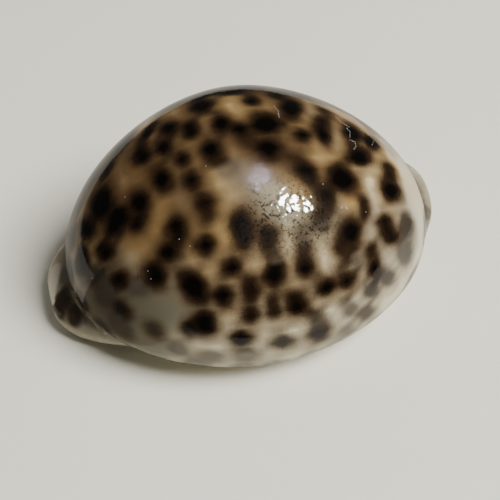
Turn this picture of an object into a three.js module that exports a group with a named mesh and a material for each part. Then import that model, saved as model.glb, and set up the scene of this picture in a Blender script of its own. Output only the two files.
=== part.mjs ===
import * as THREE from 'three';

// A cowrie shell lying on its toothed underside. Lengths are millimetres, +Z is up,
// the narrow front end points to -X and the lip that grew last is on the +Y side.
// The shell is one body: an outer sheet and an inner sheet that meet along one closed
// edge, which runs down both lips of the slit and over the notch at each end.

// The domed back
const DOME_FRONT = -37.7;
const DOME_BACK = 41.0;
const DOME_HALF_WIDTH = 30.4;
const DOME_TOP = 47.4;
const WIDEST_HEIGHT = 12.0;
const PLAN_POWER = 1.9;
const PROFILE_POWER = 1.45;
const CROWN_SOFTNESS = 0.06;
const PROFILE_SKEW = -0.05;
const UPPER_POWER = 2.06;
const LOWER_POWER = 2.5;
const BASE_SINK = 1.2;

// The thick rolled base that sticks out under the dome at both ends
const SOLE_FRONT = 42.6;
const SOLE_BACK = 44.7;
const SOLE_HALF_WIDTH = 20.5;
const SOLE_HALF_HEIGHT = 6.3;
const SOLE_FRONT_RISE = -1.9;
const SOLE_BACK_RISE = 4.4;
const SOLE_FRONT_SWING = 2.4;
const SOLE_BACK_SWING = 4.6;
const SOLE_FRONT_POWER = 2.45;
const SOLE_BACK_POWER = 2.5;
const SOLE_SECTION_POWER = 3.2;
const SOLE_SLANT = 0.03;
const JOIN_SOFTNESS = 0.1;

// Wall, lips and slit
const WALL = 2.6;
const FLOOR_HEIGHT = 6.8;
const LEAST_WALL = 2.2;
const LIP_HEIGHT = 3.7;
const LIP_FRONT_RISE = -1.8;
const LIP_BACK_RISE = 3.2;
const LIP_ROUND = 3.4;
const RIM_ROUND = 3.6;
const RIM_FRONT = 42.2;
const RIM_BACK = 44.0;
const SLIT_REACH = 42.0;
const SLIT_CENTRE = 3.4;

// Teeth across both lips
const TOOTH_PITCH = 3.1;
const TOOTH_DEPTH = 0.8;
const TOOTH_REACH = 7.5;

// The line inside the hollow that every surface point is measured from
const SPINE_HALF = 24.0;
const SPINE_MIDDLE_HEIGHT = 15.0;
const SPINE_END_HEIGHT = 10.5;
const NOTCH_FRONT_FALL = 7.4;
const NOTCH_BACK_FALL = 0.6;
const NOTCH_ANGLE = 83.5;

// Sets the middle of the whole length over the origin
const CENTRING = -1.35;

// Grid
const STEPS_ALONG = 104;
const LIP_BAND = 12.0;
const LIP_BAND_SHARE = 0.6;
const LIP_ACROSS = [-1, -0.975, -0.94, -0.885, -0.82, -0.75, -0.68, -0.6];
const DOME_STEPS = 24;
const INNER_STEP_ALONG = 4;

function ramp(from, to, value) {
  const t = Math.min(1, Math.max(0, (value - from) / (to - from)));
  return t * t * (3 - 2 * t);
}

function slitCentre(x) {
  return SLIT_CENTRE - 1.8 * ramp(22, 42, x) - 1.6 * ramp(26, 42, -x);
}

function slitHalf(x) {
  return 2.6 + 0.75 * ramp(-10, 30, -x) + 0.5 * ramp(34, 42, x);
}

function byEnd(x, front, back) {
  return x < 0 ? front : back;
}

function endLift(x, front, back) {
  const t = Math.min(1.2, Math.max(0, (Math.abs(x) - 14) / 28));
  return byEnd(x, front, back) * t * t;
}

function lipHeight(x) {
  return LIP_HEIGHT + endLift(x, LIP_FRONT_RISE, LIP_BACK_RISE);
}

// Each body function is under 1 inside the body, 1 on its surface and over 1 outside.
function domeLevel(p, inset, bottom) {
  const middle = (DOME_FRONT + DOME_BACK) / 2;
  const along = (p.x - middle) / ((DOME_BACK - DOME_FRONT) / 2 - inset);
  const held = Math.min(1, Math.max(-1, along));
  const across = Math.abs(p.y) / (DOME_HALF_WIDTH - inset);
  const above = p.z > WIDEST_HEIGHT;
  const height = above
    ? (p.z - WIDEST_HEIGHT) / ((DOME_TOP - WIDEST_HEIGHT - inset) * (1 + PROFILE_SKEW * held))
    : (WIDEST_HEIGHT - p.z) / (WIDEST_HEIGHT - bottom);
  const n = above ? UPPER_POWER : LOWER_POWER;
  const radius = Math.pow(Math.pow(across, n) + Math.pow(height, n), 1 / n);
  const share = above ? height * height / (across * across + height * height + 1e-9) : 0;
  const power = PLAN_POWER + (PROFILE_POWER - PLAN_POWER) * share;
  const flat = Math.pow(CROWN_SOFTNESS, power / 2);
  const lengthwise = (Math.pow(along * along + CROWN_SOFTNESS, power / 2) - flat)
    / (Math.pow(1 + CROWN_SOFTNESS, power / 2) - flat);
  return Math.sqrt(lengthwise + radius * radius);
}

function soleLevel(p) {
  const along = Math.abs(p.x - SOLE_SLANT * p.y) / byEnd(p.x, SOLE_FRONT, SOLE_BACK);
  const swing = SOLE_FRONT_SWING * ramp(0, 35, -p.x) + SOLE_BACK_SWING * ramp(5, 40, p.x);
  const across = Math.abs(p.y - swing) / SOLE_HALF_WIDTH;
  const middle = SOLE_HALF_HEIGHT + endLift(p.x, SOLE_FRONT_RISE, SOLE_BACK_RISE);
  const height = Math.abs(p.z - middle) / SOLE_HALF_HEIGHT;
  const power = byEnd(p.x, SOLE_FRONT_POWER, SOLE_BACK_POWER);
  const plan = Math.pow(Math.pow(along, power) + Math.pow(across, power), 1 / power);
  const n = SOLE_SECTION_POWER;
  return Math.pow(Math.pow(plan, n) + Math.pow(height, n), 1 / n);
}

function outerLevel(p) {
  const a = domeLevel(p, 0, -BASE_SINK);
  const b = soleLevel(p);
  const h = Math.min(1, Math.max(0, 0.5 + 0.5 * (b - a) / JOIN_SOFTNESS));
  return b * (1 - h) + a * h - JOIN_SOFTNESS * h * (1 - h);
}

function hollowLevel(p) {
  return domeLevel(p, WALL, FLOOR_HEIGHT);
}

function reach(start, direction, level) {
  let low = 0;
  let high = 60;
  for (let i = 0; i < 34; i++) {
    const middle = (low + high) / 2;
    const p = start.clone().addScaledVector(direction, middle);
    if (level(p) < 1) low = middle;
    else high = middle;
  }
  return (low + high) / 2;
}

// The ray for one grid point: u runs from the front (-1) to the back (1), and v from the
// slit's -Y lip (-1) over the top (0) to its +Y lip (1).
function ray(u, v) {
  const x = u * SLIT_REACH;
  const end = x < 0 ? -1 : 1;
  const side = v < 0 ? -1 : 1;
  const fan = Math.min(1, Math.max(0, (Math.abs(x) - SPINE_HALF) / (SLIT_REACH - SPINE_HALF)));
  const startX = Math.min(SPINE_HALF, Math.max(-SPINE_HALF, x));
  const sag = 1 - (startX / SPINE_HALF) ** 2;
  const startHeight = SPINE_END_HEIGHT + (SPINE_MIDDLE_HEIGHT - SPINE_END_HEIGHT) * sag;
  const start = new THREE.Vector3(startX, slitCentre(startX), startHeight);
  const narrowing = 1 - 0.86 * Math.pow(fan, 2.5);
  // Towards the ends the lip band turns upwards, to run up the two sides of the notch.
  const upturn = Math.PI / 2 * ramp(0.45, 1, fan);
  const aim = (step) => new THREE.Vector3(
    x,
    slitCentre(x) + side * (slitHalf(x) + step * Math.cos(upturn)),
    lipHeight(x) + step * Math.sin(upturn),
  ).sub(start).normalize();
  const rimDistance = (1 - fan) * 20;

  const across = Math.abs(v);
  if (across >= LIP_BAND_SHARE) {
    const fromSlit = (1 - across) / (1 - LIP_BAND_SHARE) * LIP_BAND;
    return { x, start, direction: aim(fromSlit * narrowing), fromSlit, rimDistance };
  }

  // Over the dome the rays swing from straight up towards the notch at each end.
  const notchOffset = slitCentre(end * SLIT_REACH) - start.y;
  const fall = byEnd(x, NOTCH_FRONT_FALL, NOTCH_BACK_FALL);
  const pole = new THREE.Vector3(end * (SLIT_REACH - SPINE_HALF), notchOffset, -fall).normalize();
  const edge = aim(LIP_BAND * narrowing);
  const lean = edge.x / pole.x;
  const edgeY = edge.y - lean * pole.y;
  const edgeZ = edge.z - lean * pole.z;
  const edgeTilt = Math.atan2(lean, Math.hypot(edgeY, edgeZ));
  const edgeTurn = side * Math.abs(Math.atan2(edgeY, edgeZ));
  const t = across / LIP_BAND_SHARE;
  const turn = edgeTurn * t;
  const topTilt = fan * NOTCH_ANGLE * Math.PI / 180;
  const tilt = topTilt + (edgeTilt - topTilt) * ramp(0, 1, t);
  const direction = new THREE.Vector3(0, Math.sin(turn), Math.cos(turn))
    .multiplyScalar(Math.cos(tilt))
    .addScaledVector(pole, Math.sin(tilt))
    .normalize();
  return { x, start, direction, fromSlit: LIP_BAND, rimDistance };
}

function roundedEdge(distance, radius) {
  const t = Math.min(1, Math.max(0, distance / radius));
  return Math.sqrt(1 - (1 - t) ** 2);
}

// One point of the outer or inner sheet
function surfacePoint(u, v, isOuter) {
  const { x, start, direction, fromSlit, rimDistance } = ray(u, v);
  let far = reach(start, direction, outerLevel);
  const near = Math.min(reach(start, direction, hollowLevel), far - LEAST_WALL);
  const toLip = (start.z - lipHeight(start.x + direction.x * near)) / Math.max(-direction.z, 0.02);
  const toRim = (byEnd(x, RIM_FRONT, RIM_BACK) - Math.abs(start.x)) / Math.max(Math.abs(direction.x), 0.02);
  const edge = Math.min(far - 0.5, -0.8 * Math.log(Math.exp(-toLip / 0.8) + Math.exp(-toRim / 0.8)));
  const groove = 0.5 - 0.5 * Math.cos(2 * Math.PI * x / TOOTH_PITCH);
  const toothed = (1 - ramp(4, TOOTH_REACH, fromSlit)) * (1 - ramp(31, 40, Math.abs(x)));
  far -= TOOTH_DEPTH * groove * toothed;
  const fullness = roundedEdge(fromSlit, LIP_ROUND) * roundedEdge(rimDistance, RIM_ROUND);
  const distance = edge + ((isOuter ? far : near) - edge) * fullness;
  const point = start.clone().addScaledVector(direction, distance);
  point.x += CENTRING;
  if (isOuter) point.z = Math.max(0, point.z);
  return point;
}

function makeShell() {
  const across = [...LIP_ACROSS];
  for (let j = 1; j < DOME_STEPS; j++) {
    across.push(-LIP_BAND_SHARE + 2 * LIP_BAND_SHARE * j / DOME_STEPS);
  }
  across.push(...LIP_ACROSS.map((v) => -v).reverse());
  const lastRow = STEPS_ALONG;
  const lastColumn = across.length - 1;
  const along = (i) => -1 + 2 * i / STEPS_ALONG;

  const positions = [];
  const faces = [];
  const addPoint = (p) => positions.push(p.x, p.y, p.z) / 3 - 1;

  const outer = [];
  for (let i = 0; i <= lastRow; i++) {
    outer.push(across.map((v) => addPoint(surfacePoint(along(i), v, true))));
  }
  for (let i = 0; i < lastRow; i++) {
    for (let j = 0; j < lastColumn; j++) {
      const [a, b, c, d] = [outer[i][j], outer[i + 1][j], outer[i + 1][j + 1], outer[i][j + 1]];
      faces.push(a, b, c, a, c, d);
    }
  }

  // The inner sheet is smooth, so it takes fewer points than the outer one.
  const rows = [1];
  for (let i = INNER_STEP_ALONG; i < lastRow; i += INNER_STEP_ALONG) rows.push(i);
  rows.push(lastRow - 1);
  const columns = [1, 2];
  for (let j = 4; j < lastColumn - 2; j += 2) columns.push(j);
  columns.push(lastColumn - 2, lastColumn - 1);
  const inner = rows.map((i) => columns.map((j) => addPoint(surfacePoint(along(i), across[j], false))));
  for (let i = 0; i < rows.length - 1; i++) {
    for (let j = 0; j < columns.length - 1; j++) {
      const [a, b, c, d] = [inner[i][j], inner[i + 1][j], inner[i + 1][j + 1], inner[i][j + 1]];
      faces.push(a, c, b, a, d, c);
    }
  }

  // Strips of triangles join the inner sheet to the shared edge.
  function join(edgePoints, edgeSteps, innerPoints, innerSteps, flip) {
    let a = 0;
    let b = 0;
    while (a < edgePoints.length - 1 || b < innerPoints.length - 1) {
      const nextA = a < edgePoints.length - 1 ? edgeSteps[a] + edgeSteps[a + 1] : Infinity;
      const nextB = b < innerPoints.length - 1 ? innerSteps[b] + innerSteps[b + 1] : Infinity;
      const triangle = nextA <= nextB
        ? [edgePoints[a], edgePoints[++a], innerPoints[b]]
        : [edgePoints[a], innerPoints[b + 1], innerPoints[b++]];
      faces.push(...(flip ? triangle.reverse() : triangle));
    }
  }
  const allRows = outer.map((row, i) => i);
  const allColumns = across.map((v, j) => j);
  const lastInner = columns.length - 1;
  join(outer.map((row) => row[0]), allRows, inner.map((row) => row[0]), rows, true);
  join(outer.map((row) => row[lastColumn]), allRows, inner.map((row) => row[lastInner]), rows, false);
  join(outer[0], allColumns, inner[0], columns, false);
  join(outer[lastRow], allColumns, inner[rows.length - 1], columns, true);

  const geometry = new THREE.BufferGeometry();
  geometry.setAttribute('position', new THREE.Float32BufferAttribute(positions, 3));
  geometry.setIndex(faces);
  geometry.computeVertexNormals();
  return geometry;
}

const glazedShell = new THREE.MeshStandardMaterial({ color: '#8d6a45', roughness: 0.18, metalness: 0.0 });
const shell = new THREE.Mesh(makeShell(), glazedShell);
shell.name = 'shell';

const cowrieShell = new THREE.Group();
cowrieShell.name = 'cowrie_shell';
cowrieShell.add(shell);

export default cowrieShell;
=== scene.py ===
import math

import bpy
import numpy as np
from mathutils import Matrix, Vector


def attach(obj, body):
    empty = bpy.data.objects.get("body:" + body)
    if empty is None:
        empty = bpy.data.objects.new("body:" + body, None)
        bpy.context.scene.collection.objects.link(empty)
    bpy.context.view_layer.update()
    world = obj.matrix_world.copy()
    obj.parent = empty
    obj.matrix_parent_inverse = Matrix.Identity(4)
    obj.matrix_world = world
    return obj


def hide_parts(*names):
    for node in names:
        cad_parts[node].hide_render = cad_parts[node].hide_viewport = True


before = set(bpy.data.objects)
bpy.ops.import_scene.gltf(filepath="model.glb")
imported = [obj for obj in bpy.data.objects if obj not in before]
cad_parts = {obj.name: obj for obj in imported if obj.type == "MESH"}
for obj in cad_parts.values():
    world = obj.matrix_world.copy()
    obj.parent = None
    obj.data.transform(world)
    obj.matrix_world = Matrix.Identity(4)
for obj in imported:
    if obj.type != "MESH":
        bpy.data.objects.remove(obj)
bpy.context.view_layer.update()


# ---------------------------------------------------------------- camera
# The shell is seen from above its -Y side, with its front end to the left and its
# back end a little further away. The frame is square, 500 by 500.
FRAME_PIXELS = 500
CAMERA_TURN = math.radians(-15.0)
CAMERA_HEIGHT_ANGLE = math.radians(49.0)
CAMERA_DISTANCE = 0.235
CAMERA_FOCUS_PIXELS = 1108.0
LOOK_AT = Vector((-0.00055, -0.0051, 0.0149))

toward_camera = Vector((
    math.sin(CAMERA_TURN) * math.cos(CAMERA_HEIGHT_ANGLE),
    -math.cos(CAMERA_TURN) * math.cos(CAMERA_HEIGHT_ANGLE),
    math.sin(CAMERA_HEIGHT_ANGLE),
))
camera_right = Vector((math.cos(CAMERA_TURN), math.sin(CAMERA_TURN), 0.0))
camera_up = toward_camera.cross(camera_right)
camera_place = LOOK_AT + toward_camera * CAMERA_DISTANCE

camera_turn = toward_camera.to_track_quat("Z", "Y").to_euler()
bpy.ops.object.camera_add(location=camera_place, rotation=camera_turn)
camera = bpy.context.object
camera.name = "camera"
camera.data.sensor_fit = "HORIZONTAL"
camera.data.sensor_width = 36.0
camera.data.lens = 36.0 * CAMERA_FOCUS_PIXELS / FRAME_PIXELS
camera.data.clip_start = 0.005
camera.data.clip_end = 20.0
bpy.context.scene.camera = camera


def pixel_ray(across, down):
    """The direction from the camera through a pixel of the frame, as a unit vector."""
    middle = FRAME_PIXELS / 2
    ray = (
        camera_right * (across - middle)
        - camera_up * (down - middle)
        - toward_camera * CAMERA_FOCUS_PIXELS
    )
    return ray.normalized()


# ---------------------------------------------------------------- floor and light
# A plain pale table top that the shell rests on, under soft studio light. The shell's gloss
# doesn't show the table itself but two smaller cards, one behind the shell and one before
# it, whose reflections are the narrow grey band and pale line along the shell's outline.
TABLE_SIZE = 3.0
CARD_MIDDLE = (0.0175, 0.109, 0.0004)
CARD_SIZE = (0.235, 0.222)
FRONT_CARD_MIDDLE = (0.026, -0.027, 0.0004)
FRONT_CARD_SIZE = (0.12, 0.048)
TABLE_PALE = (0.74, 0.725, 0.63, 1)
CARD_GREY = (0.38, 0.37, 0.33, 1)
PAPER_ROUGH = 0.8
ROOM_COLOUR = (1.0, 0.97, 0.93, 1)
ROOM_STRENGTH = 0.06
OVERHEAD_WIDTH = 0.10


def add_table_sheet(name, size, place, colour):
    """A flat level sheet in one colour."""
    bpy.ops.object.select_all(action="DESELECT")
    bpy.ops.mesh.primitive_plane_add(size=1, location=place)
    sheet = bpy.context.object
    sheet.name = name
    bpy.ops.transform.resize(value=(size[0], size[1], 1))
    paint = bpy.data.materials.new(name + "_paint")
    paint.use_nodes = True
    shader = paint.node_tree.nodes["Principled BSDF"]
    shader.inputs["Base Color"].default_value = colour
    shader.inputs["Roughness"].default_value = PAPER_ROUGH
    sheet.data.materials.append(paint)
    return sheet


floor = add_table_sheet("floor", (TABLE_SIZE, TABLE_SIZE), (0, 0, 0), TABLE_PALE)
floor.visible_glossy = False
for name, size, place in (
    ("reflection_card", CARD_SIZE, CARD_MIDDLE),
    ("front_reflection_card", FRONT_CARD_SIZE, FRONT_CARD_MIDDLE),
):
    card = add_table_sheet(name, size, place, CARD_GREY)
    card.visible_camera = False
    card.visible_diffuse = False
    card.visible_shadow = False

world = bpy.data.worlds.new("studio")
world.use_nodes = True
room = world.node_tree.nodes["Background"]
room.inputs["Color"].default_value = ROOM_COLOUR
room.inputs["Strength"].default_value = ROOM_STRENGTH
bpy.context.scene.world = world


def add_softbox(name, direction, distance, size, power, colour, mirrored):
    """A square lamp that faces the shell. Where mirrored is True, it is only seen in the
    shell's gloss, and otherwise it only lights it."""
    aim = Vector(direction).normalized()
    bpy.ops.object.light_add(
        type="AREA", location=aim * distance, rotation=aim.to_track_quat("Z", "Y").to_euler()
    )
    lamp = bpy.context.object
    lamp.name = name
    lamp.data.size = size
    lamp.data.energy = power
    lamp.data.color = colour
    lamp.visible_glossy = mirrored
    lamp.visible_diffuse = not mirrored
    return lamp


add_softbox("main_light", (0.43, -0.34, 0.83), 1.2, 0.55, 29.0, (1.0, 0.99, 0.95), False)
add_softbox("fill_light", (-0.4, 0.7, 0.7), 1.2, 1.0, 2.4, (1.0, 0.98, 0.94), False)
add_softbox("glare_light", (0.49, -0.46, 0.74), 0.6, 0.125, 19.0, (0.93, 1.0, 0.98), True)
overhead = add_softbox("overhead_light", (0.17, -0.16, 0.97), 0.9, 0.22, 3.2, (0.80, 0.72, 1.0), True)
overhead.data.shape = "RECTANGLE"
overhead.data.size_y = OVERHEAD_WIDTH


# ---------------------------------------------------------------- shell body
# A cowrie's shell is one piece of hard enamelled lime: a domed back over a thick rolled
# base, slit from end to end by the toothed mouth, and hollow inside. It grew in one, so
# the outer skin and the inner skin are two sheets that meet along the edge of the mouth.

# Sizes are in millimetres, and MM turns them into metres.
MM = 0.001
DOME_FRONT = -37.7
DOME_BACK = 41.0
DOME_HALF_WIDTH = 30.4
DOME_TOP = 47.28
WIDEST_HEIGHT = 12.0
PLAN_POWER = 1.9
PROFILE_POWER = 1.45
CROWN_SOFTNESS = 0.06
PROFILE_SKEW = -0.05
UPPER_POWER = 2.06
LOWER_POWER = 2.5
BASE_SINK = 1.2
SOLE_FRONT = 42.58
SOLE_BACK = 44.69
SOLE_HALF_WIDTH = 20.5
SOLE_HALF_HEIGHT = 6.3
SOLE_FRONT_RISE = -1.9
SOLE_BACK_RISE = 4.4
SOLE_FRONT_SWING = 2.4
SOLE_BACK_SWING = 4.6
SOLE_FRONT_POWER = 2.45
SOLE_BACK_POWER = 2.5
SOLE_SECTION_POWER = 3.2
SOLE_SLANT = 0.03
JOIN_SOFTNESS = 0.045
WALL = 2.6
FLOOR_HEIGHT = 6.8
LEAST_WALL = 2.2
LIP_HEIGHT = 3.7
LIP_FRONT_RISE = -1.8
LIP_BACK_RISE = 3.2
LIP_ROUND = 3.4
RIM_ROUND = 3.6
RIM_FRONT = 42.2
RIM_BACK = 44.0
SLIT_REACH = 42.0
SLIT_CENTRE = 3.4
SLIT_BACK_SHIFT = 1.8
SLIT_FRONT_SHIFT = 1.6
SLIT_HALF_WIDTH = 2.6
SLIT_FRONT_GAPE = 0.75
SLIT_BACK_GAPE = 0.5
TOOTH_PITCH = 3.1
TOOTH_DEPTH = 0.8
TOOTH_REACH = 7.5
SPINE_HALF = 24.0
SPINE_MIDDLE_HEIGHT = 15.0
SPINE_END_HEIGHT = 10.5
NOTCH_FRONT_FALL = 7.4
NOTCH_BACK_FALL = 0.6
NOTCH_ANGLE = math.radians(83.5)
CENTRING = -1.35
LIP_BAND = 12.0
LIP_BAND_SHARE = 0.3
LIP_LEDGE = 0.8
LEAST_LIP = 0.5
LEAST_SLOPE = 0.02
END_LIFT_START = 14.0
END_LIFT_LENGTH = 28.0
END_LIFT_MOST = 1.2
END_NARROWING = 0.86
END_NARROWING_POWER = 2.5
END_UPTURN_START = 0.45
RIM_FAN_LENGTH = 20.0
CREASE_RIDGE = 0.16
RIDGE_MIDDLE = 0.55
RIDGE_HALF_WIDTH = 0.4
CREASE_GROOVE = 0.42
GROOVE_MIDDLE = -0.35
GROOVE_HALF_WIDTH = 0.38
CREASE_START = 24.0
CREASE_FULL = 32.0
SLOPE_STEP = 0.05
LONGEST_RAY = 60.0
RAY_HALVINGS = 34
WELD_GAP = 0.000002
STEPS_ALONG = 260
STEPS_ACROSS = 180


def ramp(start, end, value):
    """A smooth step from 0 at start to 1 at end."""
    t = np.clip((value - start) / (end - start), 0, 1)
    return t * t * (3 - 2 * t)


def slit_centre(x):
    return SLIT_CENTRE - SLIT_BACK_SHIFT * ramp(22, 42, x) - SLIT_FRONT_SHIFT * ramp(26, 42, -x)


def slit_half(x):
    return SLIT_HALF_WIDTH + SLIT_FRONT_GAPE * ramp(-10, 30, -x) + SLIT_BACK_GAPE * ramp(34, 42, x)


def by_end(x, front, back):
    return np.where(x < 0, front, back)


def end_lift(x, front, back):
    """How far a height rises or falls from the middle of the shell to its two ends."""
    share = np.clip((np.abs(x) - END_LIFT_START) / END_LIFT_LENGTH, 0, END_LIFT_MOST)
    return by_end(x, front, back) * share ** 2


def lip_height(x):
    return LIP_HEIGHT + end_lift(x, LIP_FRONT_RISE, LIP_BACK_RISE)


def dome_level(p, inset, bottom):
    """Under 1 inside the dome, 1 on its surface and over 1 outside."""
    x, y, z = p
    middle = (DOME_FRONT + DOME_BACK) / 2
    along = (x - middle) / ((DOME_BACK - DOME_FRONT) / 2 - inset)
    across = np.abs(y) / (DOME_HALF_WIDTH - inset)
    above = z > WIDEST_HEIGHT
    tall = (DOME_TOP - WIDEST_HEIGHT - inset) * (1 + PROFILE_SKEW * np.clip(along, -1, 1))
    low = (WIDEST_HEIGHT - z) / (WIDEST_HEIGHT - bottom)
    height = np.where(above, (z - WIDEST_HEIGHT) / tall, low)
    n = np.where(above, UPPER_POWER, LOWER_POWER)
    radius = (across ** n + height ** n) ** (1 / n)
    share = np.where(above, height ** 2 / (across ** 2 + height ** 2 + 1e-9), 0)
    power = PLAN_POWER + (PROFILE_POWER - PLAN_POWER) * share
    flat = CROWN_SOFTNESS ** (power / 2)
    full = (1 + CROWN_SOFTNESS) ** (power / 2) - flat
    lengthwise = ((along ** 2 + CROWN_SOFTNESS) ** (power / 2) - flat) / full
    return np.sqrt(lengthwise + radius ** 2)


def sole_level(p):
    """The same for the thick base that sticks out under the dome at both ends."""
    x, y, z = p
    along = np.abs(x - SOLE_SLANT * y) / by_end(x, SOLE_FRONT, SOLE_BACK)
    swing = SOLE_FRONT_SWING * ramp(0, 35, -x) + SOLE_BACK_SWING * ramp(5, 40, x)
    across = np.abs(y - swing) / SOLE_HALF_WIDTH
    middle = SOLE_HALF_HEIGHT + end_lift(x, SOLE_FRONT_RISE, SOLE_BACK_RISE)
    height = np.abs(z - middle) / SOLE_HALF_HEIGHT
    power = by_end(x, SOLE_FRONT_POWER, SOLE_BACK_POWER)
    plan = (along ** power + across ** power) ** (1 / power)
    n = SOLE_SECTION_POWER
    return (plan ** n + height ** n) ** (1 / n)


def outer_level(p):
    """The dome and the base, with a soft join between them."""
    a = dome_level(p, 0, -BASE_SINK)
    b = sole_level(p)
    h = np.clip(0.5 + 0.5 * (b - a) / JOIN_SOFTNESS, 0, 1)
    return b * (1 - h) + a * h - JOIN_SOFTNESS * h * (1 - h)


def hollow_level(p):
    return dome_level(p, WALL, FLOOR_HEIGHT)


def reach(start, direction, level):
    """How far each ray runs before it leaves the body."""
    low = np.zeros(start.shape[1:])
    high = np.full(start.shape[1:], LONGEST_RAY)
    for halving in range(RAY_HALVINGS):
        middle = (low + high) / 2
        inside = level(start + direction * middle) < 1
        low = np.where(inside, middle, low)
        high = np.where(inside, high, middle)
    return (low + high) / 2


def unit(direction):
    return direction / np.sqrt((direction ** 2).sum(axis=0))


def rounded_edge(distance, radius):
    t = np.clip(distance / radius, 0, 1)
    return np.sqrt(1 - (1 - t) ** 2)


def shell_rays(u, v):
    """For u from the front (-1) to the back (1) and v from the -Y lip (-1) over the top to
    the +Y lip (1): where each ray starts, where it points, and how far it is from the edges."""
    x = u * SLIT_REACH
    end = np.where(x < 0, -1.0, 1.0)
    side = np.where(v < 0, -1.0, 1.0)
    fan = np.clip((np.abs(x) - SPINE_HALF) / (SLIT_REACH - SPINE_HALF), 0, 1)
    start_x = np.clip(x, -SPINE_HALF, SPINE_HALF)
    arch = 1 - (start_x / SPINE_HALF) ** 2
    start_z = SPINE_END_HEIGHT + (SPINE_MIDDLE_HEIGHT - SPINE_END_HEIGHT) * arch
    start = np.array([start_x, slit_centre(start_x), start_z])
    narrowing = 1 - END_NARROWING * fan ** END_NARROWING_POWER
    upturn = math.pi / 2 * ramp(END_UPTURN_START, 1, fan)

    def aim(step):
        y = slit_centre(x) + side * (slit_half(x) + step * np.cos(upturn))
        return unit(np.array([x, y, lip_height(x) + step * np.sin(upturn)]) - start)

    across = np.abs(v)
    in_band = across >= LIP_BAND_SHARE
    from_slit = np.where(in_band, (1 - across) / (1 - LIP_BAND_SHARE) * LIP_BAND, LIP_BAND)
    band = aim(from_slit * narrowing)

    offset = slit_centre(end * SLIT_REACH) - start[1]
    fall = by_end(x, NOTCH_FRONT_FALL, NOTCH_BACK_FALL)
    pole = unit(np.array([end * (SLIT_REACH - SPINE_HALF), offset, -fall]))
    edge = aim(LIP_BAND * narrowing)
    lean = edge[0] / pole[0]
    edge_y = edge[1] - lean * pole[1]
    edge_z = edge[2] - lean * pole[2]
    edge_tilt = np.arctan2(lean, np.hypot(edge_y, edge_z))
    edge_turn = side * np.abs(np.arctan2(edge_y, edge_z))
    t = np.clip(across / LIP_BAND_SHARE, 0, 1)
    turn = edge_turn * t
    top_tilt = fan * NOTCH_ANGLE
    tilt = top_tilt + (edge_tilt - top_tilt) * ramp(0, 1, t)
    crosswise = np.array([np.zeros_like(x), np.sin(turn), np.cos(turn)])
    over = unit(np.cos(tilt) * crosswise + np.sin(tilt) * pole)
    direction = np.where(in_band, band, over)
    return x, start, direction, from_slit, (1 - fan) * RIM_FAN_LENGTH


def crease_distance(p):
    """How far in millimetres a point is from the crease between dome and base, over 0 on
    the dome and under 0 on the base."""
    def gap(q):
        return sole_level(q) - dome_level(q, 0, -BASE_SINK)

    here = gap(p)
    slopes = [(gap(p + SLOPE_STEP * axis.reshape(3, 1)) - here) / SLOPE_STEP for axis in np.eye(3)]
    return here / np.sqrt((np.array(slopes) ** 2).sum(axis=0) + 1e-9)


def crease_line(away, middle, half_width):
    """From 0 to 1, how near a point is to a line that runs beside the crease."""
    return np.exp(-((away - middle) / half_width) ** 2)


def shell_sheet(u, v, is_outer):
    """The points of the outer or the inner face of the shell."""
    x, start, direction, from_slit, rim_distance = shell_rays(u, v)
    far = reach(start, direction, outer_level)
    near = np.minimum(reach(start, direction, hollow_level), far - LEAST_WALL)
    to_lip = start[2] - lip_height(start[0] + direction[0] * near)
    to_lip = to_lip / np.maximum(-direction[2], LEAST_SLOPE)
    to_rim = by_end(x, RIM_FRONT, RIM_BACK) - np.abs(start[0])
    to_rim = to_rim / np.maximum(np.abs(direction[0]), LEAST_SLOPE)
    nearer = -LIP_LEDGE * np.log(np.exp(-to_lip / LIP_LEDGE) + np.exp(-to_rim / LIP_LEDGE))
    edge = np.minimum(far - LEAST_LIP, nearer)
    groove = 0.5 - 0.5 * np.cos(2 * np.pi * x / TOOTH_PITCH)
    toothed = (1 - ramp(4, TOOTH_REACH, from_slit)) * (1 - ramp(31, 40, np.abs(x)))
    far = far - TOOTH_DEPTH * groove * toothed
    fullness = rounded_edge(from_slit, LIP_ROUND) * rounded_edge(rim_distance, RIM_ROUND)
    distance = edge + ((far if is_outer else near) - edge) * fullness
    place = start + direction * distance
    if is_outer:
        away = crease_distance(place)
        at_end = ramp(CREASE_START, CREASE_FULL, np.abs(x)) * fullness
        ridge = CREASE_RIDGE * crease_line(away, RIDGE_MIDDLE, RIDGE_HALF_WIDTH)
        sunken = CREASE_GROOVE * crease_line(away, GROOVE_MIDDLE, GROOVE_HALF_WIDTH)
        place = place + direction * (ridge - sunken) * at_end
    place[0] += CENTRING
    if is_outer:
        place[2] = np.maximum(place[2], 0)
    return place


def add_skin(name, is_outer):
    """A flat grid whose points are moved to the outer or inner face of the shell."""
    bpy.ops.object.select_all(action="DESELECT")
    bpy.ops.mesh.primitive_grid_add(
        x_subdivisions=STEPS_ALONG, y_subdivisions=STEPS_ACROSS, size=2
    )
    sheet = bpy.context.object
    sheet.name = name
    flat = np.empty(len(sheet.data.vertices) * 3)
    sheet.data.vertices.foreach_get("co", flat)
    u, v, height = flat.reshape(-1, 3).T
    place = shell_sheet(u.copy(), v.copy(), is_outer) * MM
    sheet.data.vertices.foreach_set("co", place.T.ravel())
    sheet.data.update()
    return sheet


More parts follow.
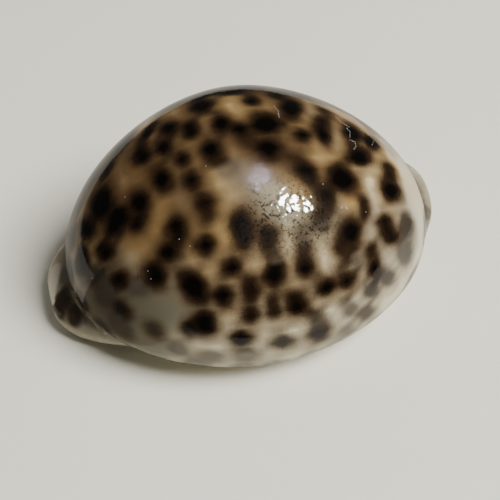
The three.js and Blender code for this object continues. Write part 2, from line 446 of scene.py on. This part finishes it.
outer_sheet = add_skin("shell_skin", True)
inner_sheet = add_skin("shell_lining", False)
bpy.ops.object.select_all(action="DESELECT")
inner_sheet.select_set(True)
bpy.context.view_layer.objects.active = inner_sheet
bpy.ops.object.mode_set(mode="EDIT")
bpy.ops.mesh.select_all(action="SELECT")
bpy.ops.mesh.flip_normals()
bpy.ops.object.mode_set(mode="OBJECT")
outer_sheet.select_set(True)
bpy.context.view_layer.objects.active = outer_sheet
bpy.ops.object.join()
shell = outer_sheet
bpy.ops.object.mode_set(mode="EDIT")
bpy.ops.mesh.select_all(action="SELECT")
bpy.ops.mesh.remove_doubles(threshold=WELD_GAP)
bpy.ops.mesh.normals_make_consistent(inside=False)
bpy.ops.object.mode_set(mode="OBJECT")
bpy.ops.object.shade_smooth()


# ---------------------------------------------------------------- spots
# The animal laid dark brown spots into the outer layers of its shell while it lived. They
# lie under clear enamel, so their edges are blurred and rust shows along the lower side.

# Each is an oval: its middle and its two half widths in pixels of the frame, the turn of
# its long side, and how dark it is.
SEEN_SPOTS = [
    # along the crest and the far side
    (251, 100, 10, 6, 5, 0.95), (277, 94, 13, 4, 5, 1.0), (291, 108, 13, 11, 12, 1.0),
    (201, 106, 15, 8, -22, 1.0), (169, 129, 13, 9, -18, 1.0), (190, 129, 11, 10, -10, 0.95),
    (221, 124, 12, 12, 0, 1.0), (241, 131, 15, 10, 10, 1.0), (266, 124, 20, 12, 0, 1.0),
    (325, 112, 8, 3, 30, 0.95), (321, 124, 11, 8, 25, 0.95), (303, 136, 12, 8, 8, 0.95),
    (324, 138, 11, 7, 40, 0.9), (352, 133, 13, 8, 40, 1.0), (371, 142, 11, 6, 35, 0.95),
    (359, 156, 16, 9, 14, 1.0), (142, 156, 13, 9, -25, 1.0), (163, 147, 12, 10, -10, 0.95),
    (182, 160, 10, 10, 0, 0.95), (211, 151, 13, 14, 0, 1.0), (269, 151, 20, 11, 0, 0.9),
    (229, 170, 11, 10, 20, 0.35), (302, 166, 19, 10, 25, 1.0), (342, 178, 20, 13, 30, 1.0),
    (389, 170, 10, 6, 55, 1.0), (391, 190, 14, 9, 52, 1.0), (162, 180, 14, 14, 0, 1.0),
    (192, 181, 11, 11, 0, 0.95), (139, 203, 13, 16, 0, 1.0), (206, 207, 12, 12, 0, 1.0),
    (325, 199, 11, 13, 0, 0.95), (364, 208, 6, 12, 0, 0.8), (101, 203, 12, 19, 20, 1.0),
    (222, 92, 30, 3, -4, 0.95), (200, 97, 12, 4, -22, 0.9), (147, 133, 18, 4, -50, 0.8),
    (107, 170, 12, 4, -60, 0.7), (313, 178, 9, 7, 0, 0.9),
    # the left side
    (118, 216, 17, 13, -15, 1.0), (88, 229, 9, 12, 10, 1.0), (114, 229, 12, 10, 0, 1.0),
    (135, 223, 11, 10, 0, 1.0), (177, 229, 13, 16, 0, 1.0), (83, 252, 6, 8, -20, 0.9),
    (105, 251, 11, 12, 0, 1.0), (168, 253, 13, 12, 20, 1.0), (206, 246, 12, 12, 0, 1.0),
    (82, 264, 8, 12, 0, 0.7), (95, 277, 11, 9, 0, 0.62), (155, 274, 15, 12, 45, 1.0),
    (119, 280, 11, 11, 0, 0.85), (138, 288, 12, 8, 0, 0.45), (106, 294, 10, 15, 0, 0.5),
    (121, 309, 12, 7, 42, 0.7), (119, 326, 15, 7, 45, 0.45), (154, 330, 10, 6, 38, 0.6),
    # the middle and the right side
    (241, 225, 13, 17, 0, 0.95), (244, 240, 10, 13, 0, 1.0), (268, 238, 11, 13, 10, 0.8),
    (276, 258, 8, 10, 0, 0.6), (303, 236, 9, 9, 0, 0.6), (321, 225, 10, 8, 0, 0.6),
    (351, 232, 13, 16, 10, 1.0), (343, 251, 9, 9, 0, 0.95), (385, 224, 9, 10, 30, 0.95),
    (391, 235, 9, 9, 0, 0.95), (407, 226, 7, 13, 0, 0.62), (405, 252, 7, 13, 0, 0.55),
    (372, 253, 7, 9, 0, 0.85), (375, 270, 8, 9, 0, 0.8), (372, 290, 8, 8, 0, 0.65),
    (388, 278, 8, 8, -30, 0.6), (355, 260, 8, 7, 0, 0.55), (305, 265, 11, 13, 0, 0.95),
    (232, 267, 12, 11, 0, 1.0), (193, 286, 22, 14, 42, 1.0), (223, 296, 13, 11, 15, 1.0),
    (250, 287, 12, 12, 0, 1.0), (274, 277, 14, 12, 0, 1.0), (326, 286, 13, 10, -5, 1.0),
    (346, 280, 12, 10, 0, 1.0), (297, 304, 13, 12, 0, 1.0), (274, 308, 9, 9, 0, 0.85),
    (250, 313, 10, 10, 0, 0.9), (204, 323, 15, 12, 28, 1.0), (190, 329, 9, 8, 0, 0.7),
    # fading out towards the lower edge
    (241, 338, 12, 8, 0, 0.8), (283, 342, 12, 7, 0, 0.68), (316, 319, 10, 7, 0, 0.65),
    (320, 334, 12, 6, -22, 0.75), (349, 308, 8, 7, 0, 0.55), (366, 313, 9, 6, -28, 0.6),
    (178, 348, 10, 6, 20, 0.4), (211, 357, 14, 5, 5, 0.35), (247, 356, 14, 5, 0, 0.35),
    (347, 331, 9, 4, -25, 0.45),
    # on the front flange
    (59, 309, 8, 9, 0, 0.85), (81, 315, 12, 8, 10, 0.9),
]

# Where nothing in view tells, spots are scattered over the sides that the frame doesn't show.
HIDDEN_SEED = 11
HIDDEN_FACING = 0.05
LIMB_FACING = 0.27
LIMB_FRONT = 4.0
LIMB_BACK = 22.0
HIDDEN_RADIUS = (2.1, 3.5)
HIDDEN_STRETCH = (0.85, 1.25)
HIDDEN_GAP = 1.3
SEEN_GAP = 0.6
HIDDEN_LOWEST = 5.0
FADE_HEIGHTS = (4.0, 22.0)
LOW_SPOT_SIZE = 0.75
LOW_SPOT_DARK = 0.3
LEAST_TILT = 0.25
BELOW_PIXELS = 4
SKIN_CLOSENESS = 0.01
MERGE_SHARPNESS = 1.9
SPOT_GROWTH = 0.62
RUST_SHIFT = 1.2
RUST_GROWTH = 1.8
DEEPEST_OUTSIDE = -8.0


def read_points(mesh, kind):
    """The places or the face directions of a mesh's points, one row each."""
    values = np.empty(len(mesh.vertices) * 3, dtype=np.float32)
    if kind == "normal":
        mesh.vertex_normals.foreach_get("vector", values)
    else:
        mesh.vertices.foreach_get("co", values)
    return values.reshape(-1, 3).astype(float)


skin_places = read_points(shell.data, "place") / MM
skin_normals = read_points(shell.data, "normal")
camera_point = np.array(camera_place) / MM


def seen_place(across, down):
    """The point of the shell under a pixel of the frame, and the way its face looks."""
    hit, place, normal, face = shell.ray_cast(camera_place, pixel_ray(across, down))
    return np.array(place) / MM, np.array(normal)


def on_plane(across, down, place, normal):
    """Where the ray through a pixel meets the plane that touches the shell at a place."""
    ray = np.array(pixel_ray(across, down))
    return camera_point + ray * ((place - camera_point) @ normal) / (ray @ normal)


def seen_oval(across, down, long_half, short_half, turn):
    """The middle and the two half widths of an oval in the frame, laid on the shell."""
    place, normal = seen_place(across, down)
    facing_in = np.array(toward_camera)
    normal = normal - facing_in * min(0, normal @ facing_in - LEAST_TILT)
    normal /= np.sqrt(normal @ normal)
    level, steep = math.cos(math.radians(turn)), math.sin(math.radians(turn))
    first = on_plane(across + long_half * level, down + long_half * steep, place, normal) - place
    second = on_plane(across - short_half * steep, down + short_half * level, place, normal) - place
    below = on_plane(across, down + BELOW_PIXELS, place, normal) - place
    return place, first, second, normal, below / np.sqrt(below @ below)


ovals = []
for across, down, long_half, short_half, turn, dark in SEEN_SPOTS:
    ovals.append((*seen_oval(across, down, long_half, short_half, turn), dark))

draw = np.random.default_rng(HIDDEN_SEED)
facing = ((camera_point - skin_places) * skin_normals).sum(axis=1)
facing /= np.sqrt(((camera_point - skin_places) ** 2).sum(axis=1))
body_places = skin_places.T - np.array([[CENTRING], [0], [0]])


def oval_depths(shift, growth):
    """For every point of the shell and every oval: how far in millimetres it is inside."""
    depths = []
    for place, first, second, normal, below, dark in ovals:
        radius = math.sqrt(math.sqrt(first @ first) * math.sqrt(second @ second))
        grown = 1 + growth / radius
        sides = np.array([first * grown, second * grown, normal * radius * grown]).T
        local = np.linalg.inv(sides) @ (skin_places - place - below * shift).T
        depths.append((1 - np.sqrt((local ** 2).sum(axis=0))) * radius * grown)
    return np.array(depths)


limb_facing = HIDDEN_FACING + LIMB_FACING * ramp(LIMB_BACK, LIMB_FRONT, skin_places[:, 0])
free = np.abs(outer_level(body_places) - 1) < SKIN_CLOSENESS
free &= dome_level(body_places, 0, -BASE_SINK) < 1 + SKIN_CLOSENESS
free &= facing < limb_facing
free &= skin_places[:, 2] > HIDDEN_LOWEST
free &= oval_depths(0, 0).max(axis=0) < -HIDDEN_RADIUS[0] - SEEN_GAP
for index in draw.permutation(len(skin_places)):
    if not free[index]:
        continue
    place, normal = skin_places[index], skin_normals[index]
    upper = float(ramp(*FADE_HEIGHTS, place[2]))
    radius = draw.uniform(*HIDDEN_RADIUS) * (LOW_SPOT_SIZE + (1 - LOW_SPOT_SIZE) * upper)
    below = np.array([0, 0, -1.0]) + normal * normal[2]
    below /= np.sqrt(below @ below)
    along = np.cross(normal, below)
    stretch = draw.uniform(*HIDDEN_STRETCH)
    first, second = along * radius * stretch, below * radius / stretch
    dark = LOW_SPOT_DARK + (1 - LOW_SPOT_DARK) * upper
    ovals.append((place, first, second, normal, below, dark))
    gap = np.sqrt(((skin_places - place) ** 2).sum(axis=1)) - radius
    free &= gap > HIDDEN_RADIUS[0] + HIDDEN_GAP


def merged(depths):
    """The depth inside the nearest oval, where close ovals run into each other."""
    powers = np.exp(MERGE_SHARPNESS * np.maximum(depths, -30))
    return np.maximum(np.log(powers.sum(axis=0)) / MERGE_SHARPNESS, DEEPEST_OUTSIDE)


def add_mask(name, values):
    """Keeps one number for each point of the shell, for the enamel to read."""
    mask = shell.data.attributes.new(name, "FLOAT", "POINT")
    mask.data.foreach_set("value", np.asarray(values, dtype=np.float32))


depths = oval_depths(0, SPOT_GROWTH)
pull = np.exp(MERGE_SHARPNESS * np.maximum(depths, -12))
darkness = np.array([oval[5] for oval in ovals])
add_mask("spot_depth", merged(depths))
add_mask("spot_dark", (pull * darkness[:, None]).sum(axis=0) / pull.sum(axis=0))
add_mask("rust_depth", merged(oval_depths(RUST_SHIFT, RUST_GROWTH)))


# ---------------------------------------------------------------- ground colours
# Between the spots the shell is golden and red-brown over its crest and its far left side,
# and cream to greyish white down its near side. Its base, lips and teeth are almost white.

# Each patch is its middle and its reach in pixels of the frame, then how golden, how
# red-brown and how grey it is.
GROUND_PATCHES = [
    (232, 108, 16, 0.9, 0.0, 0.0), (210, 118, 12, 0.9, 0.15, 0.0), (185, 144, 14, 0.9, 0.35, 0.0),
    (297, 127, 14, 0.85, 0.15, 0.0), (311, 114, 10, 0.5, 0.2, 0.2), (318, 153, 14, 0.75, 0.15, 0.0),
    (338, 139, 12, 0.45, 0.05, 0.0), (286, 138, 14, 0.7, 0.6, 0.0), (225, 140, 18, 0.6, 0.8, 0.0),
    (210, 176, 14, 0.75, 0.3, 0.0), (229, 196, 14, 0.65, 0.0, 0.0), (300, 186, 14, 0.95, 0.15, 0.0),
    (185, 197, 12, 0.5, 0.6, 0.1), (135, 172, 18, 0.9, 0.8, 0.0), (115, 187, 14, 0.8, 0.95, 0.0),
    (110, 165, 14, 0.7, 0.95, 0.1), (130, 150, 12, 0.7, 0.95, 0.1), (154, 220, 16, 1.0, 0.35, 0.0),
    (136, 243, 14, 0.9, 0.8, 0.0),
    (152, 245, 14, 0.7, 0.8, 0.0), (92, 245, 10, 0.8, 0.2, 0.1), (192, 228, 14, 0.6, 0.7, 0.0),
    (222, 230, 14, 0.8, 0.1, 0.0), (375, 182, 18, 0.4, 0.0, 0.05), (378, 158, 14, 0.6, 0.2, 0.0),
    (350, 145, 12, 0.8, 0.3, 0.0), (353, 200, 10, 0.9, 0.5, 0.0), (330, 215, 16, 0.2, 0.2, 0.5),
    (255, 262, 14, 0.45, 0.05, 0.0), (212, 268, 14, 0.5, 0.1, 0.1), (290, 245, 12, 0.4, 0.0, 0.1),
    # The four grey patches at the lower left, about (150, 305), (100, 300), (165, 302) and (140, 340),
    # are partly the shell's grey and partly painted shade that darkens its lower left side.
    (128, 262, 14, 0.3, 0.4, 0.6), (150, 305, 26, 0.0, 0.0, 0.97), (100, 300, 24, 0.1, 0.0, 1.0),
    (165, 302, 20, 0.0, 0.0, 0.9), (140, 340, 22, 0.1, 0.0, 0.9), (330, 245, 16, 0.25, 0.0, 0.2),
    (385, 252, 16, 0.05, 0.0, 0.6), (372, 215, 14, 0.1, 0.0, 0.4), (340, 300, 24, 0.05, 0.0, 0.0),
    (240, 300, 16, 0.3, 0.0, 0.0), (270, 328, 20, 0.05, 0.0, 0.0), (310, 250, 12, 0.3, 0.0, 0.1),
    (205, 345, 20, 0.1, 0.0, 0.2), (395, 290, 20, 0.05, 0.0, 0.15), (403, 200, 12, 0.15, 0.0, 0.5),
    (404, 168, 9, 0.15, 0.0, 0.3),
    (412, 245, 10, 0.0, 0.0, 0.65), (412, 222, 10, 0.0, 0.0, 0.45), (390, 150, 9, 0.2, 0.1, 0.6),
    (290, 290, 12, 0.3, 0.0, 0.0),
    (170, 265, 12, 0.4, 0.3, 0.4), (250, 180, 16, 0.2, 0.8, 0.4), (268, 192, 14, 0.2, 0.5, 0.45),
    (250, 205, 13, 0.3, 0.75, 0.3), (283, 186, 12, 0.5, 0.5, 0.2), (284, 214, 14, 0.2, 0.3, 0.6),
    (312, 213, 13, 0.2, 0.3, 0.6), (222, 188, 12, 0.6, 0.6, 0.0), (285, 168, 12, 0.4, 0.8, 0.15),
]
# On the worn, dull, grainy and flange patches only the middle and the reach are given.
WORN_PATCHES = [
    (298, 202, 22), (265, 205, 16), (275, 225, 24), (320, 222, 20), (248, 232, 14), (300, 240, 14),
]
DULL_PATCH = (257, 176, 18)
GRAINY_PATCHES = [
    (340, 275, 40), (285, 232, 32), (330, 230, 26), (240, 315, 30), (300, 310, 34),
    (390, 255, 26), (290, 345, 26),
]
FLANGE_DARKS = [
    (66, 300, 11), (76, 310, 12), (90, 318, 10), (60, 313, 8), (70, 288, 9), (104, 325, 7),
    (57, 306, 6), (74, 320, 9), (60, 296, 7),
]
FLANGE_GREYS = [
    (64, 272, 9), (66, 262, 8), (122, 338, 12), (140, 347, 10), (88, 328, 10), (104, 335, 10),
    (73, 323, 8),
]
FLANGE_PALES = [(56, 268, 8), (54, 275, 8), (53, 282, 8), (52, 289, 7), (52, 296, 6), (53, 302, 4)]
FAR_GOLD, FAR_RED, FAR_GREY = 0.75, 0.6, 0.15
FAR_HEIGHTS = (10.0, 34.0)
FAR_SLANT = 0.35
FAR_WEIGHT = 0.05
OUTER_CLOSENESS = 0.03
VEIL_LEAST = 0.04
VEIL_MIDDLE = 26.0
VEIL_RANGE = (-8.0, 14.0)
VEIL_ACROSS, VEIL_ALONG = 0.55, 0.25
BASE_HEIGHTS = (1.0, 9.0)
BASE_BACK_START, BASE_BACK_RISE = 18.0, 0.22
BASE_SIDE_START, BASE_SIDE_FALL = 16.0, 0.18
FLANGE_RANGE = (0.2, -0.8)
# The painted shade line and the painted highlight line beside the crease: where each lies in
# millimetres from it, and their half width.
SHADE_LINE, HIGHLIGHT_LINE, LINE_HALF_WIDTH = -0.35, 0.6, 0.45
LINING_RANGE = (1.055, 1.02)


def patch_pull(across, down, reach):
    """How near each point of the shell is to a patch, from 0 to 1."""
    place, normal = seen_place(across, down)
    size = reach * CAMERA_DISTANCE / MM / CAMERA_FOCUS_PIXELS
    return np.exp(-((skin_places - place) ** 2).sum(axis=1) / size ** 2)


def patch_cover(patches):
    """How much of the patches covers each point, from 0 to 1."""
    bare = np.ones(len(skin_places))
    for patch in patches:
        bare = bare * (1 - patch_pull(*patch))
    return 1 - bare


x, y, z = skin_places.T
on_shell = np.abs(outer_level(body_places) - 1) < OUTER_CLOSENESS
crest = ramp(*FAR_HEIGHTS, z + FAR_SLANT * y)
gold, red, grey = FAR_GOLD * crest, FAR_RED * crest, FAR_GREY * (1 - crest)
weights = np.full(len(x), FAR_WEIGHT)
sums = [gold * weights, red * weights, grey * weights]
for across, down, reach_pixels, *tones in GROUND_PATCHES:
    pull = patch_pull(across, down, reach_pixels)
    weights = weights + pull
    sums = [total + pull * tone for total, tone in zip(sums, tones)]
for name, total in zip(("gold", "red", "grey"), sums):
    add_mask(name, total / weights)
add_mask("worn", patch_cover(WORN_PATCHES))
add_mask("dull", patch_pull(*DULL_PATCH))
add_mask("grainy", patch_cover(GRAINY_PATCHES))
veil_side = ramp(*VEIL_RANGE, z - VEIL_MIDDLE + VEIL_ACROSS * y - VEIL_ALONG * x)
add_mask("veil", VEIL_LEAST + (1 - VEIL_LEAST) * veil_side)
base_rise = BASE_BACK_RISE * np.maximum(0, x - BASE_BACK_START)
base_fall = BASE_SIDE_FALL * np.maximum(0, np.abs(y - SLIT_CENTRE) - BASE_SIDE_START)
add_mask("base", 1 - ramp(*BASE_HEIGHTS, z - base_rise + base_fall))
away = crease_distance(body_places)
at_end = ramp(CREASE_START, CREASE_FULL, np.abs(body_places[0])) * on_shell
on_flange = ramp(*FLANGE_RANGE, away) * at_end
add_mask("flange", on_flange)
add_mask("flange_dark", patch_cover(FLANGE_DARKS) * on_flange)
add_mask("flange_grey", patch_cover(FLANGE_GREYS) * on_flange)
add_mask("flange_pale", patch_cover(FLANGE_PALES) * on_flange)
# Beside the crease at each end, a dark line in its groove is painted shade and a pale line on its
# ridge is a painted highlight.
add_mask("crease_painted_shade", crease_line(away, SHADE_LINE, LINE_HALF_WIDTH) * at_end)
add_mask("crease_painted_highlight", crease_line(away, HIGHLIGHT_LINE, LINE_HALF_WIDTH) * at_end)
add_mask("lining", ramp(*LINING_RANGE, hollow_level(body_places)))


# ---------------------------------------------------------------- enamel
# A cowrie's enamel is clear, hard and as smooth as glazed china. Under it the dark spots
# look soft, and on the worn patch near the crest it is dulled by fine scratches and pits.
class Socket:
    """An output of a node. Adding or multiplying these adds the Math nodes it takes."""

    def __init__(self, paint, output):
        self.paint = paint
        self.output = output

    def __add__(self, other):
        return self.paint.maths("ADD", self, other)

    def __sub__(self, other):
        return self.paint.maths("SUBTRACT", self, other)

    def __mul__(self, other):
        return self.paint.maths("MULTIPLY", self, other)

    def __rsub__(self, other):
        return self.paint.maths("SUBTRACT", other, self)

    __radd__ = __add__
    __rmul__ = __mul__


class Paint:
    """A finish and the nodes it is mixed from."""

    def __init__(self, name):
        self.material = bpy.data.materials.new(name)
        self.material.use_nodes = True
        self.shader = self.material.node_tree.nodes["Principled BSDF"]

    def feed(self, node, sockets):
        for name, value in sockets.items():
            if isinstance(value, Socket):
                self.material.node_tree.links.new(value.output, node.inputs[name])
            else:
                node.inputs[name].default_value = value

    def node(self, kind, settings, sockets, output=0):
        node = self.material.node_tree.nodes.new(kind)
        for name, value in settings.items():
            setattr(node, name, value)
        self.feed(node, sockets)
        return Socket(self, node.outputs[output])

    def maths(self, operation, first, second):
        return self.node("ShaderNodeMath", {"operation": operation}, {0: first, 1: second})

    def blend(self, share, first, second):
        """From the first colour to the second as share goes from 0 to 1."""
        sockets = {0: share, 6: first, 7: second}
        return self.node("ShaderNodeMix", {"data_type": "RGBA"}, sockets, 2)

    def rise(self, value, start, end):
        """A smooth step from 0 at start to 1 at end."""
        sockets = {"Value": value, "From Min": start, "From Max": end}
        return self.node("ShaderNodeMapRange", {"interpolation_type": "SMOOTHSTEP"}, sockets)

    def mask(self, name):
        return self.node("ShaderNodeAttribute", {"attribute_name": name}, {}, "Fac")

    def noise(self, grain, detail=2.0, rough=0.5):
        """Cloudy noise from 0 to 1, with lumps of about grain millimetres."""
        place = self.node("ShaderNodeTexCoord", {}, {}, "Object")
        sockets = {"Vector": place, "Scale": 1 / (grain * MM), "Detail": detail, "Roughness": rough}
        return self.node("ShaderNodeTexNoise", {}, sockets, "Fac")


# Specks of dust and short hairs stick to the enamel, each a point or a line in the frame; their white
# is partly dust and partly painted highlight from their glints.
DUST_GLINTS = [
    [(206, 166)], [(323, 184)], [(179, 239)], [(190, 246)], [(92, 278)], [(366, 212)], [(148, 271)],
    [(341, 208), (342, 207)], [(346, 207), (347, 209)], [(151, 279)], [(125, 197)],
    [(274, 106), (278, 111), (279, 117)],
    [(347, 128), (350, 132), (350, 137)],
    [(350, 140), (355, 142), (356, 146), (354, 149)],
    [(372, 145), (374, 141)],
    [(336, 117), (341, 122), (349, 127)],
]
DUST_GLINT_HALF_WIDTH = 0.13 * MM
DUST_GLINT_STEP = 1.2
DUST_GLINT_SOFTNESS = 0.4
DUST_GLINT_COVER = 0.6
# This white is partly the dust itself and partly painted highlight.
DUST_GLINT_WHITE = (0.62, 0.62, 0.58, 1)

CREAM = (0.70, 0.635, 0.46, 1)
GOLD = (0.93, 0.64, 0.27, 1)
RED_BROWN = (0.07, 0.035, 0.021, 1)
# This grey is the shell's own grey, and on the patches at the lower left it is also painted shade.
GREY_AND_SHADE = (0.024, 0.022, 0.015, 1)
VEIL_BROWN = (0.042, 0.022, 0.013, 1)
RUST = (0.15, 0.078, 0.020, 1)
SPOT_EDGE = (0.036, 0.0195, 0.009, 1)
SPOT_MIDDLE = (0.0015, 0.001, 0.0008, 1)
FADED_SPOT = (0.055, 0.044, 0.036, 1)
LIP_WHITE = (0.70, 0.64, 0.52, 1)
LINING = (0.55, 0.53, 0.55, 1)
FLANGE_BROWN = (0.016, 0.009, 0.005, 1)
FLANGE_GREY = (0.17, 0.155, 0.13, 1)
FLANGE_TAN = (0.33, 0.285, 0.21, 1)
# This dark colour is painted shade in the groove of the crease.
GROOVE_PAINTED_SHADE = (0.05, 0.04, 0.03, 1)
WORN_GREY = (0.06, 0.05, 0.04, 1)
WORN_DARK = (0.004, 0.003, 0.0025, 1)
# Where the spots and what surrounds them start and end, in millimetres inside an oval.
SPOT_FADE = (-1.7, 1.3)
SPOT_CORE = (0.0, 2.5)
HALO_FADE = (-1.2, 0.6)
VEIL_FADE = (-3.4, 0.2)
VEIL_COVER = 0.78
HALO_COVER = 0.75
FINE_GRAIN, CLOUD_GRAIN, SCRATCH_GRAIN, STREAK_GRAIN = 0.42, 4.5, 0.9, 2.6
RIPPLE_GRAIN, DENT_GRAIN = 2.2, 2.3
ENAMEL_ROUGHNESS = 0.07
DULL_ROUGHNESS = 0.22
BUMP_STRENGTH = 0.2
BUMP_DEPTH = 0.3 * MM
ENAMEL_IOR = 1.35

enamel = Paint("shell_enamel")
grain = enamel.noise(FINE_GRAIN, 3.0, 0.65)
cloud = enamel.noise(CLOUD_GRAIN, 3.0)
worn = enamel.mask("worn")
grainy = enamel.mask("grainy")
gold_share = enamel.mask("gold")
veil_share = enamel.mask("veil")
speckle = (grain - 0.5) * (0.3 + grainy * 0.3)
drift = (cloud - 0.5) * 1.7

# The ground between the spots.
ground = enamel.blend(enamel.rise(gold_share + drift * 0.12, 0.05, 0.95), CREAM, GOLD)
ground = enamel.blend(enamel.mask("red") * 0.9, ground, RED_BROWN)
# The grey patches turn the ground grey; at the lower left this grey is also painted shade.
grey_and_shade_share = enamel.mask("grey")
ground = enamel.blend(grey_and_shade_share * 0.95, ground, GREY_AND_SHADE)
ground = enamel.blend(enamel.rise(grain, 0.45, 0.75) * grainy * 0.12, ground, FADED_SPOT)

# The spots, each with a brown veil and a rust halo round it.
spot_depth = enamel.mask("spot_depth") + speckle + drift
rust_depth = enamel.mask("rust_depth") + speckle * 0.6 + drift
spot_dark = enamel.mask("spot_dark")
base = enamel.rise(enamel.mask("base"), 0.25, 0.95)
shown = (1 - base * 0.9) * spot_dark

veil = enamel.rise(rust_depth, *VEIL_FADE) * VEIL_COVER * shown * veil_share
ground = enamel.blend(veil * (1 - grey_and_shade_share * 0.7), ground, VEIL_BROWN)
halo = enamel.rise(rust_depth, *HALO_FADE) * HALO_COVER * (1 - veil_share * 0.6) * shown
ground = enamel.blend(halo * (1 - grey_and_shade_share * 0.8), ground, RUST)
spot = enamel.blend(enamel.rise(spot_depth, *SPOT_CORE), SPOT_EDGE, SPOT_MIDDLE)
spot = enamel.blend(enamel.rise(spot_dark, 0.25, 0.8), FADED_SPOT, spot)
strength = 0.75 + enamel.rise(spot_dark, 0.3, 0.8) * 0.25
spotted = enamel.rise(spot_depth, *SPOT_FADE) * strength * (1 - base * 0.9)
colour = enamel.blend(spotted, ground, spot)

# The worn patch, then the pale base, the flanges, and along the crease a painted shade line and a
# painted highlight line.
colour = enamel.blend(worn * grain * 0.4, colour, WORN_GREY)
scratches = enamel.rise(enamel.noise(SCRATCH_GRAIN, 4.0, 0.75), 0.5, 0.6)
colour = enamel.blend(scratches * worn * 0.85, colour, WORN_DARK)
colour = enamel.blend(base * (0.85 + drift * 0.1), colour, LIP_WHITE)
streak = enamel.rise(enamel.noise(STREAK_GRAIN, 3.0, 0.6), 0.4, 0.65)
colour = enamel.blend(enamel.mask("flange") * (0.35 + streak * 0.4), colour, FLANGE_TAN)
colour = enamel.blend(enamel.mask("flange_grey") * 0.75, colour, FLANGE_GREY)
flange_dark = enamel.rise(enamel.mask("flange_dark") + drift * 0.1, 0.2, 0.9)
colour = enamel.blend(flange_dark * 0.92, colour, FLANGE_BROWN)
flange_pale = enamel.rise(enamel.mask("flange_pale"), 0.35, 0.85)
colour = enamel.blend(flange_pale * 0.85, colour, LIP_WHITE)
# Painted shade in the crease's groove, then a painted highlight on the ridge beside it.
colour = enamel.blend(enamel.mask("crease_painted_shade") * 0.55, colour, GROOVE_PAINTED_SHADE)
colour = enamel.blend(enamel.mask("crease_painted_highlight") * 0.35, colour, LIP_WHITE)
colour = enamel.blend(enamel.mask("lining"), colour, LINING)

# Each speck is the same small round dab of white, partly dust and partly painted highlight, and a hair
# is a row of them.
object_place = enamel.node("ShaderNodeTexCoord", {}, {}, "Object")
nearest = None
for line in DUST_GLINTS:
    for start, end in zip(line, line[1:] + line[-1:]):
        count = max(1, round(math.dist(start, end) / DUST_GLINT_STEP))
        for share in np.arange(count) / count:
            across, down = (a + (b - a) * share for a, b in zip(start, end))
            speck = Vector(seen_place(across, down)[0] * MM)
            sockets = {0: object_place, 1: speck}
            to_speck = enamel.node("ShaderNodeVectorMath", {"operation": "DISTANCE"}, sockets, "Value")
            nearest = to_speck if nearest is None else enamel.maths("MINIMUM", nearest, to_speck)
dust_and_glint = enamel.rise(nearest, DUST_GLINT_HALF_WIDTH, DUST_GLINT_HALF_WIDTH * DUST_GLINT_SOFTNESS)
colour = enamel.blend(dust_and_glint * DUST_GLINT_COVER, colour, DUST_GLINT_WHITE)

gloss = ENAMEL_ROUGHNESS + (cloud - 0.5) * 0.04 - worn * 0.02
gloss = gloss + enamel.mask("dull") * DULL_ROUGHNESS
ripple = enamel.noise(RIPPLE_GRAIN, 2.0) * 0.5 + grain * 0.05
dents = enamel.noise(DENT_GRAIN, 1.5, 0.5) * worn * 5.0
sockets = {"Strength": BUMP_STRENGTH, "Distance": BUMP_DEPTH, "Height": ripple + dents}
relief = enamel.node("ShaderNodeBump", {}, sockets)
enamel.feed(enamel.shader, {
    "Base Color": colour,
    "Roughness": gloss,
    "Normal": relief,
    "IOR": ENAMEL_IOR,
})
shell.data.materials.append(enamel.material)

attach(shell, "root")
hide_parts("shell")
